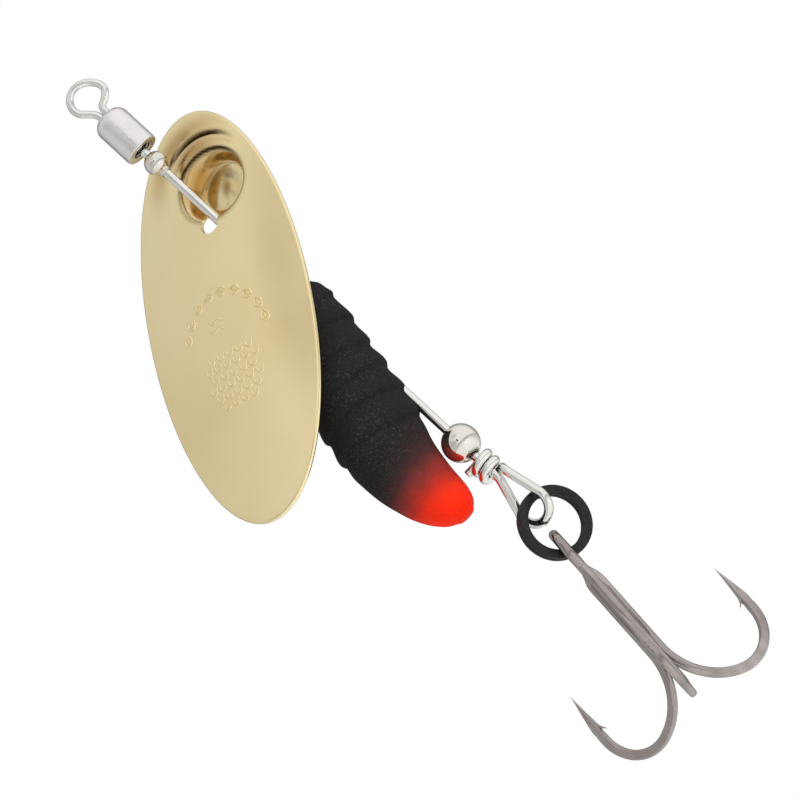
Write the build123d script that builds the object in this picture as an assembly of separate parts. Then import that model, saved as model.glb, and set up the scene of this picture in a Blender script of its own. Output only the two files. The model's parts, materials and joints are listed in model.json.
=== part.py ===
from build123d import *
import math
import os

# Inline spinner for fishing, hanging from its line eye.
# Frame: origin at the centre of the line eye, +Z up along the straight shaft wire,
# +X to the right and -Y to the front, where the blade's domed face looks.
# Units: millimetres.

os.makedirs("parts", exist_ok=True)

# ---------------------------------------------------------------- driving sizes
RUNNING_GAP = 0.045          # radial clearance of a bead or body on the wire

EYE_WIRE_R = 0.31            # line eye: wire radius
EYE_LOOP_R = 1.46            # line eye: radius of the loop's centre line
EYE_LEG_X = 0.32             # line eye: each leg's distance from the shaft axis
EYE_NECK_LEFT = 0.9          # line eye: gentle bend on the left
EYE_NECK_RIGHT = 0.35        # line eye: tight bend on the right

BARREL_R = 1.5               # swivel barrel
BARREL_TOP = -2.15
BARREL_BOTTOM = -6.3
BARREL_WALL = 0.3
BARREL_EDGE = 0.32           # rounding of the barrel's two rims
BARREL_TOP_HOLE_R = 0.68
BARREL_LOW_HOLE_R = 0.82
HEAD_R = 1.08                # upset heads that turn inside the barrel
HEAD_T = 0.6
HEAD_GAP = 0.05

WIRE_R = 0.375               # shaft wire radius
BORE_R = WIRE_R + RUNNING_GAP

FRONT_BEAD_Z = -7.8
FRONT_BEAD_R = 0.97
FRONT_COLLAR_R = 0.52
FRONT_COLLAR_L = 0.22

BLADE_HOLE_Z = -14.7         # where the wire crosses the blade
BLADE_A = 18.04              # half length of the oval outline
BLADE_B = 7.96               # half width
BLADE_T = 0.45               # sheet thickness
BLADE_DISH = 1.2             # height of the crown over the rim
BLADE_SPLAY = 31.35          # tail of the blade swung to -X, degrees
BLADE_LIFT = 12.24           # tail of the blade lifted to the front, degrees
BLADE_ROLL = 23.89           # turned about its own length, degrees
HOLE_U = -7.95               # wire's place in the blade, along its length from the middle
HOLE_V = 1.05                # and across it
HOLE_W = 0.1                 # and above the rim's plane
HOLE_R = 0.78
CUP_U, CUP_V = -10.5, 1.7    # round pressed cup: centre
CUP_R = 3.4
CUP_DEPTH = 1.5              # at its centre
CUP_TILT = 0.22              # its floor rises this much per millimetre to the right
CUP_WALL_WIDE = 1.6          # width of the cup's wall
CUP_WALL_NARROW = 0.8        # and of the low step on its right

BEARING_Z = -17.5
BEARING_R = 1.25
SPACER_R = 0.75
BODY_TOP = -23.4
BODY_GAP = 0.03

# rubber body: height, left edge and right edge of each round section
BODY_SECTIONS = [
    (BODY_TOP, -1.0, 1.0),
    (-23.95, -1.85, 1.5),
    (-25.0, -2.65, 1.82),
    (-28.5, -4.55, 1.46),
    (-32.2, -6.75, 0.75),
    (-36.5, -7.6, -0.15),
    (-39.6, -7.65, -1.3),
    (-42.0, -7.2, -1.82),
    (-44.3, -6.1, -2.2),
    (-45.6, -5.0, -2.75),
]
CORE_SKIN = 1.25             # rubber thickness over the metal core
CORE_FIRST, CORE_LAST = 2, 5  # sections that the core spans

REAR_BEAD_Z = -41.55
REAR_BEAD_R = 1.56

WRAP_LOW = -45.35            # lower end of the wraps
WRAP_TURNS = 2               # full turns, before the end swings behind the shaft
WRAP_PITCH = 0.8
WRAP_R = 2 * WIRE_R + 0.03
STUB_L = 1.5                 # cut end, from the back of the shaft to the left

LOOP_YAW = 32.0              # tail loop turned about the shaft, right side to the front
LOOP_R = 1.42
LOOP_P = 0.2                 # loop centre, sideways in its own plane
LOOP_Z = -49.2
LOOP_FORK_Z = -45.75         # where the legs part
LOOP_BEND_R = 0.9

RING_X, RING_Y, RING_Z = 0.37, 0.62, -51.2
RING_OUT_R = 3.02
RING_IN_R = 2.25
RING_COIL_T = 0.42
RING_COIL_GAP = 0.04
RING_YAW = 27.0              # left side to the front
RING_PITCH = 12.5            # top to the front
RING_SPLIT = 20.0            # degrees taken by the step from one coil to the other
RING_SPLIT_AT = 72.0         # where on the ring the step starts

HOOK_WIRE_R = 0.4
HOOK_EYE_X, HOOK_EYE_Y, HOOK_EYE_Z = -0.33, 0.9, -51.37
HOOK_LEAN = 5.6              # shank leans to -X going down, degrees
HOOK_EYE_R = 1.25            # eye: radius of the centre line
HOOK_EYE_STRAIGHT = 0.6
HOOK_EYE_NECK = 0.6
SHANK_OFF = 0.47             # each shank's distance from the treble's axis
HOOK_LENGTH = 18.1           # top of the eye to the outside of the bends
HOOK_REACH = 8.87            # axis to the bend's outermost centre line
BEND_POINT_R = 3.45          # bend radius on the point side
BEND_SHANK_R = 5.3           # bend radius on the shank side
POINT_BASE = 4.7             # above the bend's bottom: where the point's cone starts
POINT_TIP = 7.85             # and ends
POINT_X = 8.65               # the tip's distance from the axis
BARB_TIP = 4.0
BARB_OUT = 0.45
BRAZE_TOP = 5.4              # below the eye's top
BRAZE_BOTTOM = 11.6


# ---------------------------------------------------------------- small helpers
def polar(radius, degrees):
    """Point on a circle about the origin, as two numbers."""
    angle = math.radians(degrees)
    return radius * math.cos(angle), radius * math.sin(angle)


def flat_arc(plane, cx, cy, radius, start, end):
    """Arc in a plane about (cx, cy), from one angle to another in degrees."""
    points = []
    for degrees in (start, (start + end) / 2, end):
        dx, dy = polar(radius, degrees)
        points.append(plane.from_local_coords(Vector(cx + dx, cy + dy, 0)))
    return Edge.make_three_point_arc(*points)


def flat_line(plane, start, end):
    """Straight edge between two points of a plane."""
    first = plane.from_local_coords(Vector(start[0], start[1], 0))
    last = plane.from_local_coords(Vector(end[0], end[1], 0))
    return Edge.make_line(first, last)


def rod(edges, radius):
    """Round wire swept along edges that join end to end."""
    path = Wire(edges)
    section = Plane(origin=path @ 0, z_dir=path % 0) * Circle(radius)
    return sweep(section, path=path)


def upright(x, y, low, high, radius):
    """Round bar along Z between two heights."""
    bar = Cylinder(radius, high - low, align=(Align.CENTER, Align.CENTER, Align.MIN))
    return Pos(x, y, low) * bar


def bored_bead(z, radius):
    """Ball with the running bore for the shaft wire."""
    bore = upright(0, 0, z - 2 * radius, z + 2 * radius, BORE_R)
    return Pos(0, 0, z) * Sphere(radius) - bore


def save(shape, node):
    """Write one sub-part as its own STEP file."""
    solids = shape.solids()
    shape = solids[0] if len(solids) == 1 else Compound(solids)
    shape.label = node
    export_step(shape, f"parts/{node}.step")


# ---------------------------------------------------------------- swivel
def line_eye():
    """Wire loop whose two ends stand side by side and share one head."""
    plane = Plane(origin=(0, 0, 0), x_dir=(1, 0, 0), z_dir=(0, -1, 0))
    head_top = BARREL_TOP - BARREL_WALL - HEAD_GAP
    sides = []
    for side, neck in ((-1, EYE_NECK_LEFT), (1, EYE_NECK_RIGHT)):
        neck_x = side * (EYE_LEG_X + neck)
        neck_z = -math.sqrt((EYE_LOOP_R + neck) ** 2 - neck_x ** 2)
        toward = math.degrees(math.atan2(neck_z, neck_x))
        leg_angle = 0 if side < 0 else 180
        leg = flat_line(plane, (side * EYE_LEG_X, head_top - 0.1), (side * EYE_LEG_X, neck_z))
        bend = flat_arc(plane, neck_x, neck_z, neck, leg_angle, toward + 180)
        sides.append((leg, bend, toward % 360))
    (leg_left, bend_left, left), (leg_right, bend_right, right) = sides
    loop = flat_arc(plane, 0, 0, EYE_LOOP_R, left, right - 360)
    wire = rod([leg_left, bend_left, loop, bend_right, leg_right], EYE_WIRE_R)
    head = upright(0, 0, head_top - HEAD_T, head_top, HEAD_R)
    return wire + fillet(head.edges(), 0.12)


def swivel_barrel():
    """Hollow barrel with rounded rims and a hole in each end."""
    outside = upright(0, 0, BARREL_BOTTOM, BARREL_TOP, BARREL_R)
    outside = fillet(outside.edges().filter_by(GeomType.CIRCLE), BARREL_EDGE)
    inside = upright(0, 0, BARREL_BOTTOM + BARREL_WALL, BARREL_TOP - BARREL_WALL,
                     BARREL_R - BARREL_WALL)
    top_hole = upright(0, 0, BARREL_TOP - 1, BARREL_TOP + 1, BARREL_TOP_HOLE_R)
    low_hole = upright(0, 0, BARREL_BOTTOM - 1, BARREL_BOTTOM + 1, BARREL_LOW_HOLE_R)
    return outside - inside - top_hole - low_hole


# ---------------------------------------------------------------- shaft wire
def shaft_wire():
    """Headed wire: straight shaft, tail loop, two wraps round the shaft and a cut end."""
    yaw = math.radians(LOOP_YAW)
    across = Vector(math.cos(yaw), -math.sin(yaw), 0)
    plane = Plane(origin=(0, 0, 0), x_dir=across, z_dir=across.cross(Vector(0, 0, 1)))
    head_low = BARREL_BOTTOM + BARREL_WALL + HEAD_GAP
    head = fillet(upright(0, 0, head_low, head_low + HEAD_T, HEAD_R).edges(), 0.12)

    # left leg: from the fork, tangent to the left of the loop
    fork = LOOP_FORK_Z - LOOP_Z
    reach = math.hypot(LOOP_P, fork)
    lean = math.asin(LOOP_R / reach) - math.atan2(LOOP_P, fork)
    bend_run = LOOP_BEND_R * math.tan(lean / 2)
    bend_start = LOOP_FORK_Z + bend_run
    shaft = flat_line(plane, (0, head_low + HEAD_T / 2), (0, bend_start))
    bend = flat_arc(plane, -LOOP_BEND_R, bend_start, LOOP_BEND_R, 0, -math.degrees(lean))
    left_angle = 180 - math.degrees(lean)
    dx, dz = polar(LOOP_R, left_angle)
    leg_left = flat_line(plane, (-bend_run * math.sin(lean), LOOP_FORK_Z - bend_run * math.cos(lean)),
                         (LOOP_P + dx, LOOP_Z + dz))

    # right leg: from the loop back up to the first wrap
    rise = WRAP_LOW - LOOP_Z
    gap = math.hypot(WRAP_R - LOOP_P, rise)
    slope = math.asin(LOOP_R / gap) - math.atan2(WRAP_R - LOOP_P, rise)
    right_angle = math.degrees(slope)
    ex, ez = polar(LOOP_R, right_angle)
    loop = flat_arc(plane, LOOP_P, LOOP_Z, LOOP_R, left_angle, 360 + right_angle)
    leg_right = flat_line(plane, (LOOP_P + ex, LOOP_Z + ez), (WRAP_R, WRAP_LOW))
    body = rod([shaft, bend, leg_left, loop, leg_right], WIRE_R)
    knuckle = Pos(*plane.from_local_coords(Vector(WRAP_R, WRAP_LOW, 0))) * Sphere(WIRE_R)
    return head + body + knuckle + wraps()


def wraps():
    """Turns round the shaft that end behind it, and the cut end pointing to the left."""
    turns = WRAP_TURNS + (90 + LOOP_YAW) / 360
    path = Helix(WRAP_PITCH, turns * WRAP_PITCH, WRAP_R, center=(0, 0, WRAP_LOW))
    section = Plane(origin=path @ 0, z_dir=path % 0) * Circle(WIRE_R)
    coil = Rot(0, 0, -LOOP_YAW) * sweep(section, path=path, is_frenet=True)
    stub = Rot(0, -90, 0) * Cylinder(WIRE_R, STUB_L, align=(Align.CENTER, Align.CENTER, Align.MIN))
    behind = Pos(0, WRAP_R, WRAP_LOW + turns * WRAP_PITCH)
    return coil + behind * (stub + Sphere(WIRE_R))


def front_bead():
    """Small ball with a short collar below it."""
    collar_low = FRONT_BEAD_Z - FRONT_BEAD_R - FRONT_COLLAR_L
    collar = upright(0, 0, collar_low, FRONT_BEAD_Z, FRONT_COLLAR_R)
    bore = upright(0, 0, collar_low - 1, FRONT_BEAD_Z + 2, BORE_R)
    return Pos(0, 0, FRONT_BEAD_Z) * Sphere(FRONT_BEAD_R) + collar - bore


# ---------------------------------------------------------------- blade
def blade_plane():
    """Plane of the blade's rim: x along its length to the tail, y across, z out of the dome."""
    splay, lift, roll = (math.radians(value) for value in (BLADE_SPLAY, BLADE_LIFT, BLADE_ROLL))
    length = Vector(-math.sin(splay) * math.cos(lift), -math.sin(lift),
                    -math.cos(splay) * math.cos(lift))
    level = Vector(0, -1, 0).cross(length).normalized()
    face = length.cross(level).normalized()
    across = level * math.cos(roll) + face * math.sin(roll)
    normal = face * math.cos(roll) - level * math.sin(roll)
    centre = Vector(0, 0, BLADE_HOLE_Z) - length * HOLE_U - across * HOLE_V - normal * HOLE_W
    return centre, length, across, normal


def cup_depth(u, v):
    """How far the pressed cup lies below the dished face at a place on the blade."""
    du, dv = u - CUP_U, v - CUP_V
    inside = CUP_R - math.hypot(du, dv)
    if inside <= 0:
        return 0.0
    to_right = (1 + math.sin(math.atan2(dv, du))) / 2
    wall = CUP_WALL_WIDE + (CUP_WALL_NARROW - CUP_WALL_WIDE) * to_right ** 2
    share = min(1.0, inside / wall)
    return (CUP_DEPTH - CUP_TILT * dv) * share * share * (3 - 2 * share)


def blade_height(u, v):
    """Height of the blade's domed face over the plane of its rim."""
    dish = BLADE_DISH * (1 - (u / BLADE_A) ** 2 - (v / BLADE_B) ** 2)
    return dish - cup_depth(u, v)


def blade():
    """Oval dished sheet with the round cup and the wire's hole."""
    centre, length, across, normal = blade_plane()
    margin = 1.06
    columns, rows = 70, 40
    grid = []
    for i in range(columns + 1):
        u = BLADE_A * margin * (2 * i / columns - 1)
        line = []
        for j in range(rows + 1):
            v = BLADE_B * margin * (2 * j / rows - 1)
            line.append(centre + length * u + across * v + normal * blade_height(u, v))
        grid.append(line)
    face = Face.make_surface_from_array_of_points(grid)
    sheet = extrude(face, amount=BLADE_T, dir=-normal)
    rim_plane = Plane(origin=centre - normal * 4, x_dir=length, z_dir=normal)
    prism = extrude(rim_plane * Ellipse(BLADE_A, BLADE_B), amount=8, dir=normal)
    hole = upright(0, 0, BLADE_HOLE_Z - 2.4, BLADE_HOLE_Z + 2.4, HOLE_R)
    return (sheet & prism) - hole


# ---------------------------------------------------------------- body
def round_section(z, left, right):
    """One horizontal circle of the rubber body."""
    return Pos((left + right) / 2, 0, z) * Circle((right - left) / 2)


def body_parts():
    """Rubber skin and the cast core inside it, both bored for the wire."""
    outside = loft([round_section(*row) for row in BODY_SECTIONS])
    core_rows = BODY_SECTIONS[CORE_FIRST:CORE_LAST + 1]
    inside = loft([round_section(z, left + CORE_SKIN, right - CORE_SKIN)
                   for z, left, right in core_rows])
    bore = upright(0, 0, BODY_SECTIONS[-1][0], BODY_TOP + 1, BORE_R)
    return outside - inside - bore, inside - bore


def spacer_tube():
    """Plain tube on the wire between the bearing bead and the body."""
    low, high = BODY_TOP + BODY_GAP, BEARING_Z - BEARING_R - BODY_GAP
    return upright(0, 0, low, high, SPACER_R) - upright(0, 0, low - 1, high + 1, BORE_R)


# ---------------------------------------------------------------- split ring
def ring_frame():
    """Centre and three directions of the split ring: sideways, upward and its axis."""
    yaw, pitch = math.radians(RING_YAW), math.radians(RING_PITCH)
    side = Vector(math.cos(yaw), math.sin(yaw), 0)
    back = Vector(-math.sin(yaw), math.cos(yaw), 0)
    upward = Vector(0, 0, 1) * math.cos(pitch) - back * math.sin(pitch)
    return Vector(RING_X, RING_Y, RING_Z), side, upward, side.cross(upward)


def split_ring():
    """Two turns of flat wire, one on the other, joined by a short step."""
    centre, side, upward, axis = ring_frame()
    middle = (RING_OUT_R + RING_IN_R) / 2
    width = RING_OUT_R - RING_IN_R
    half = (RING_COIL_T + RING_COIL_GAP) / 2
    step = math.radians(RING_SPLIT)
    start = math.radians(RING_SPLIT_AT)

    def section(angle, height):
        outward = side * math.cos(angle) + upward * math.sin(angle)
        place = Plane(origin=centre + outward * middle + axis * height, x_dir=outward,
                      z_dir=axis.cross(outward))
        return place * Rectangle(width, RING_COIL_T)

    def coil(height):
        turn = 360 - RING_SPLIT
        return revolve(section(start + step, height), axis=Axis(centre, axis), revolution_arc=turn)

    upper, lower = coil(half), coil(-half)
    pieces = 4
    stations = []
    for i in range(pieces + 1):
        share = i / pieces
        stations.append(section(start + step * share, half * (2 * share - 1)))
    ramp = loft(stations, ruled=True)
    return lower + ramp + upper


# ---------------------------------------------------------------- treble hook
def hook_plane(azimuth):
    """Upright plane through the treble's axis: x outward at an azimuth, y up."""
    outward = Vector(*polar(1, azimuth), 0)
    return Plane(origin=(0, 0, 0), x_dir=outward, z_dir=outward.cross(Vector(0, 0, 1)))


def bend_and_point(azimuth, shank_top):
    """Shank, round bend, needle point and barb of one hook, hanging from the eye's top."""
    plane = hook_plane(azimuth)
    bottom = -HOOK_LENGTH + HOOK_WIRE_R
    point_x = HOOK_REACH - BEND_POINT_R
    point_z = bottom + BEND_POINT_R
    shank_x = SHANK_OFF + BEND_SHANK_R
    dx = shank_x - point_x
    swing = math.sqrt((BEND_SHANK_R - BEND_POINT_R) ** 2 - dx ** 2)
    join = 180 + math.degrees(math.atan2(swing, dx))
    shank_z = point_z + swing
    base_z = bottom + POINT_BASE
    edges = [
        flat_line(plane, (SHANK_OFF, shank_top), (SHANK_OFF, shank_z)),
        flat_arc(plane, shank_x, shank_z, BEND_SHANK_R, 180, join),
        flat_arc(plane, point_x, point_z, BEND_POINT_R, join, 360),
        flat_line(plane, (HOOK_REACH, point_z), (HOOK_REACH, base_z)),
    ]
    wire = rod(edges, HOOK_WIRE_R)
    base = plane.from_local_coords(Vector(HOOK_REACH, base_z, 0))
    tip = plane.from_local_coords(Vector(POINT_X, bottom + POINT_TIP, 0))
    cone = loft([Plane(origin=base, z_dir=(0, 0, 1)) * Circle(HOOK_WIRE_R),
                 Plane(origin=tip, z_dir=(0, 0, 1)) * Circle(0.03)])
    inner = HOOK_REACH - HOOK_WIRE_R
    outline = [(inner + 0.25, base_z + 0.3), (inner - BARB_OUT, bottom + BARB_TIP),
               (inner + 0.25, bottom + BARB_TIP + 0.25)]
    corners = [plane.from_local_coords(Vector(x, z, 0)) for x, z in outline]
    barb = extrude(make_face(Polyline(*corners, close=True)), amount=0.13, both=True)
    return wire + cone + barb


def treble_eye():
    """Eye in the front-to-back plane, its two legs side by side below it."""
    plane = Plane(origin=(0, 0, 0), x_dir=(0, 1, 0), z_dir=(1, 0, 0))
    top_z = -HOOK_WIRE_R - HOOK_EYE_R
    low_z = top_z - HOOK_EYE_STRAIGHT
    leg = HOOK_WIRE_R + 0.01
    neck_y = leg + HOOK_EYE_NECK
    neck_z = low_z - math.sqrt((HOOK_EYE_R + HOOK_EYE_NECK) ** 2 - neck_y ** 2)
    touch = math.degrees(math.atan2(low_z - neck_z, neck_y))
    edges = [
        flat_line(plane, (-leg, neck_z - 0.3), (-leg, neck_z)),
        flat_arc(plane, -neck_y, neck_z, HOOK_EYE_NECK, 0, touch),
        flat_arc(plane, 0, low_z, HOOK_EYE_R, 180 + touch, 180),
        flat_line(plane, (-HOOK_EYE_R, low_z), (-HOOK_EYE_R, top_z)),
        flat_arc(plane, 0, top_z, HOOK_EYE_R, 180, 0),
        flat_line(plane, (HOOK_EYE_R, top_z), (HOOK_EYE_R, low_z)),
        flat_arc(plane, 0, low_z, HOOK_EYE_R, 0, -touch),
        flat_arc(plane, neck_y, neck_z, HOOK_EYE_NECK, 180 - touch, 180),
        flat_line(plane, (leg, neck_z), (leg, neck_z - 0.3)),
    ]
    return rod(edges, HOOK_WIRE_R), neck_z - 0.3, leg


def slanted_rod(start, end, radius):
    """Round bar between two points with a ball at each end."""
    bar = Plane(origin=start, z_dir=end - start) * Cylinder(
        radius, (end - start).length, align=(Align.CENTER, Align.CENTER, Align.MIN))
    return bar + Pos(*start) * Sphere(radius) + Pos(*end) * Sphere(radius)


def place_treble(shape):
    """Lean a shape made under the eye's top and move it to the split ring."""
    return Pos(HOOK_EYE_X, HOOK_EYE_Y, HOOK_EYE_Z) * Rot(0, HOOK_LEAN, 0) * shape


def treble_double_hook():
    """One wire: the eye, the front hook and the right hook."""
    eye, leg_low, leg = treble_eye()
    join_low = leg_low - 1.0
    shape = eye
    for azimuth, side in ((-90, -1), (30, 1)):
        shank = Vector(*polar(SHANK_OFF, azimuth), join_low)
        shape += slanted_rod(Vector(0, side * leg, leg_low), shank, HOOK_WIRE_R)
        shape += bend_and_point(azimuth, join_low)
    return place_treble(shape)


def treble_single_hook():
    """The left hook, laid in the groove of the other two."""
    start = Vector(*polar(SHANK_OFF, 150), -BRAZE_TOP)
    return place_treble(Pos(*start) * Sphere(HOOK_WIRE_R) + bend_and_point(150, -BRAZE_TOP))


def treble_braze():
    """Braze that fills the grooves between the three shanks."""
    pool = upright(0, 0, -BRAZE_BOTTOM, -BRAZE_TOP - 0.5, SHANK_OFF + 0.12)
    for azimuth in (-90, 30, 150):
        x, y = polar(SHANK_OFF, azimuth)
        pool -= upright(x, y, -BRAZE_BOTTOM - 1, -BRAZE_TOP + 2, HOOK_WIRE_R)
    return place_treble(pool)


# ---------------------------------------------------------------- write the nodes
skin, core = body_parts()
NODES = {
    "line_eye": line_eye(),
    "swivel_barrel": swivel_barrel(),
    "shaft_wire": shaft_wire(),
    "front_bead": front_bead(),
    "blade": blade(),
    "bearing_bead": bored_bead(BEARING_Z, BEARING_R),
    "spacer_tube": spacer_tube(),
    "grub_core": core,
    "grub_skin": skin,
    "rear_bead": bored_bead(REAR_BEAD_Z, REAR_BEAD_R),
    "split_ring": split_ring(),
    "treble_double_hook": treble_double_hook(),
    "treble_single_hook": treble_single_hook(),
    "treble_braze": treble_braze(),
}
for node, shape in NODES.items():
    save(shape, node)
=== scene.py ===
import json
import math

import bmesh
import bpy
from mathutils import Matrix, Vector


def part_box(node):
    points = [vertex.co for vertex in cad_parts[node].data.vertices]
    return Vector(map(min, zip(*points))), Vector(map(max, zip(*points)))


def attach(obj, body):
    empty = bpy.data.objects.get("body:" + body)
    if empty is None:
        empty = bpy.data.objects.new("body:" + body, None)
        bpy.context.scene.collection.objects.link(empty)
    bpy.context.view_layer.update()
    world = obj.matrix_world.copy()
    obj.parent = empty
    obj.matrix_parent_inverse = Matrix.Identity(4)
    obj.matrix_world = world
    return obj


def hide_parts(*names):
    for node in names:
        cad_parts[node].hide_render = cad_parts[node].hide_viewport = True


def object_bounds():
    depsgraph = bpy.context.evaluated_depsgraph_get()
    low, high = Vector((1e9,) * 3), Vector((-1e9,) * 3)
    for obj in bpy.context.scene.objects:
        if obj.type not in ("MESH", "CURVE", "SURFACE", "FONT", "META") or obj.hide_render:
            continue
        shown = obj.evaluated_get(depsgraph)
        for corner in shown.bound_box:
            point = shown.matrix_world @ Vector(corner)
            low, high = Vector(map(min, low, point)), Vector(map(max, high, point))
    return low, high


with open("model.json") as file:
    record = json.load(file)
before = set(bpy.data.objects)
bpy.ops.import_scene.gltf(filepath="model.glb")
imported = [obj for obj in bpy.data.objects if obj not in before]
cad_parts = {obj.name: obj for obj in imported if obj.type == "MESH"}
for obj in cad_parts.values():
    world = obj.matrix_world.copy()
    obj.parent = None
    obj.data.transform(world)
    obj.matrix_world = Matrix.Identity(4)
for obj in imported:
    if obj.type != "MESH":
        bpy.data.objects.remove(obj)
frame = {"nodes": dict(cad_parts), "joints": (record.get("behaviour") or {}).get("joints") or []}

# Looks of the inline spinner. Shapes are worked out in millimetres, in the CAD frame:
# +Z up the shaft wire, -Y to the front, +X to the right. MM turns them into metres.
MM = 0.001
CAD_LOW, CAD_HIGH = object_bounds()
NODES = frame["nodes"]
JOINTS = {joint["name"]: joint for joint in frame["joints"]}
UP = Vector((0, 0, 1))
BACK = Vector((0, 1, 0))
RIGHT = Vector((1, 0, 0))

# ---------------------------------------------------------------- driving sizes, mm and degrees
WIRE_R = 0.375                    # shaft wire
BORE_R = WIRE_R + 0.045           # running bore on it
EYE_WIRE_R = 0.31
EYE_POINTS = [(-0.32, -2.7), (-0.32, -1.85), (-0.45, -1.35), (-0.88, -0.82), (-1.28, -0.3), (-1.36, 0.35),
              (-1.0, 1.02), (-0.28, 1.4), (0.55, 1.28), (1.24, 0.74), (1.6, 0.02), (1.47, -0.6),
              (0.97, -1.0), (0.47, -1.25), (0.32, -1.65), (0.32, -2.7)]
HEAD_R, HEAD_CORE_R, HEAD_FILLET = 1.08, 0.02, 0.12    # upset heads inside the barrel
EYE_HEAD_TOP, EYE_HEAD_LOW = -2.6, -3.1
SHAFT_HEAD_T, SHAFT_HEAD_UP = 0.6, 0.42
SHAFT_TOP_UNDER = 1.5             # start of the shaft's wire under the barrel's middle
BARREL_TOP_HOLE_R, BARREL_LOW_HOLE_R, BARREL_IN_R = 0.68, 0.82, 1.2
BALL_STEPS, MOUTH, COLLAR_R = 48, 0.05, 0.47
GROOVE_PLACES = (0.6, 0.2, -0.2, -0.6)    # turned into the spacer tube, as shares of its half height
GROOVE_D, GROOVE_HALF = 0.07, 0.12
BLADE_HOLE_Z = JOINTS["blade_flap"]["pos_m"][2] / MM
BLADE_A, BLADE_B, BLADE_T = 18.04, 7.96, 0.45    # half length, half width, thickness
BLADE_DISH = 1.2
BLADE_SPLAY, BLADE_LIFT, BLADE_ROLL = 31.35, 12.24, 23.89
HOLE_U, HOLE_V, HOLE_W = -7.95, 1.05, 0.1    # _U along the blade to its tail, _V across, _W out of it
CUP_U, CUP_V, CUP_R = -10.68, 1.48, 3.22
CUP_DEPTH, CUP_TILT, CUP_WALL_WIDE, CUP_WALL_NARROW = 1.5, 0.22, 1.75, 0.6
CUP_SOFT = 0.45                   # share of the wall's run that each of its bends takes
FOLD_U, FOLD_V, FOLD_R = -11.66, 0.95, 3.82    # crease outside the cup: an arc about this place
RIDGE_OUT, RIDGE_HALF, RIDGE_H = 0.72, 0.78, 0.2
CREASE_OUT, CREASE_HALF, CREASE_D = 0.05, 0.34, 0.26
BLADE_BAR_R, BLADE_BAR_HALF = 0.78, 2.4
PUNCH_U, PUNCH_V, PUNCH_A, PUNCH_B, PUNCH_HALF = -7.5, 0.75, 0.85, 0.85, 1.6
LEAF_COUNT, LEAF_FIRST, LEAF_STEP = 9, 248, 19.0
LEAF_CENTRE, LEAF_RU, LEAF_RV, LEAF_BOW = Vector((2.6, 0.05)), 4.1, 3.9, 0.36
SCALE_ROWS, SCALE_U, SCALE_V, SCALE_PITCH_U, SCALE_PITCH_V = 6, 3.7, 0.1, 0.82, 0.93
PATCH_U, PATCH_HALF_U, PATCH_HALF_V = 5.2, 3.2, 2.75
WRAP_LOW, WRAP_TURNS, WRAP_PITCH = -45.35, 2, 0.8
WRAP_R = 2 * WIRE_R + 0.09
WRAP_STEPS, STUB_L = 119, 1.5
WRAP_CORNER = 0.7                 # softened where the loop's leg runs into the wraps
LOOP_YAW, LOOP_R, LOOP_P, LOOP_Z, LOOP_FORK_Z, LOOP_BEND_R = 32.0, 1.42, 0.2, -49.2, -45.75, 0.9
RING_OUT_R, RING_IN_R, RING_COIL_T, RING_COIL_GAP = 3.02, 2.25, 0.42, 0.04
RING_SPLIT, RING_SPLIT_AT = 20.0, 72.0
HOOK_EYE = Vector((-0.33, 0.9, -51.37))
HOOK_LEAN, HOOK_WIRE_R, HOOK_EYE_R = 5.6, 0.4, 1.25
SHANK_OFF, HOOK_LENGTH, HOOK_REACH = 0.47, 18.1, 8.87
HOOK_AZIMUTHS, THIRD_AZIMUTH = ((-90, -1), (30, 1)), 150
BEND_POINT_R, BEND_SHANK_R = 3.45, 5.3
POINT_TIP, POINT_X, POINT_L = 7.85, 8.65, 3.5
HOOK_STEP, CHISEL_L = 0.1, 1.3    # step of the hook's line, and the run of the third hook's thinned top
BARB_PLACES = [(0.42, 5.5), (0.22, 4.95), (-0.08, 4.4), (-0.46, 3.95)]    # from the point's inner side
EYE_LEG_RUN, NECK_R, EYE_STRAIGHT = 0.3, 0.6, 0.6
BRAZE_TOP, BRAZE_BOTTOM, BRAZE_R, BRAZE_GROOVE = 5.4, 11.6, 0.5, 0.1
BODY_ROWS = [(-23.4, -1.0, 1.0), (-23.95, -1.85, 1.5), (-25.0, -2.65, 1.82), (-28.5, -4.55, 1.46),
             (-32.2, -6.75, 0.75), (-36.5, -7.6, -0.15), (-39.6, -7.65, -1.3), (-42.0, -7.2, -1.82),
             (-43.3, -6.78, -1.98), (-44.4, -6.2, -2.15), (-45.25, -5.5, -2.5), (-45.75, -4.75, -3.0)]
BODY_TIP = Vector((-3.85, 0, -45.98))
BODY_AXIS = Vector((-0.2, 0, -0.98)).normalized()
TIP_STEPS = 20
LUMP_PITCH, LUMP_D, LUMP_RISE, LUMP_MEAN = 2.35, 0.27, 0.8, 0.46
LUMPS_FROM, LUMPS_TO, LUMPS_FADE_IN, LUMPS_FADE_OUT = 0.9, 16.2, 1.2, 3.0
BODY_BORE = (-47.0, -20.0)        # heights between which the bore is cut
CAMERA_TARGET = Vector((-0.735, 0, -35.604))
CAMERA_RISE, CAMERA_ROLL, CAMERA_LENS, SENSOR = 14.5, 42.6, 259.6, 36.0
CAMERA_AWAY, FLOOR_HALF, FLOOR_Z = 0.45, 3.0, -0.26    # these three in metres


# ---------------------------------------------------------------- mesh helpers
def ease(share, soft):
    """0 to 1 with straight middle and rounded ends that each take this share of the run."""
    share = min(1.0, max(0.0, share))
    if share < soft:
        return share * share / (2 * soft * (1 - soft))
    if share > 1 - soft:
        return 1 - (1 - share) ** 2 / (2 * soft * (1 - soft))
    return (share - soft / 2) / (1 - soft)


def bump(value, centre, half):
    """Smooth hump of height 1 about a centre, 0 beyond its half width."""
    away = abs(value - centre) / half
    return 0.0 if away >= 1 else (1 + math.cos(math.pi * away)) / 2


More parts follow.
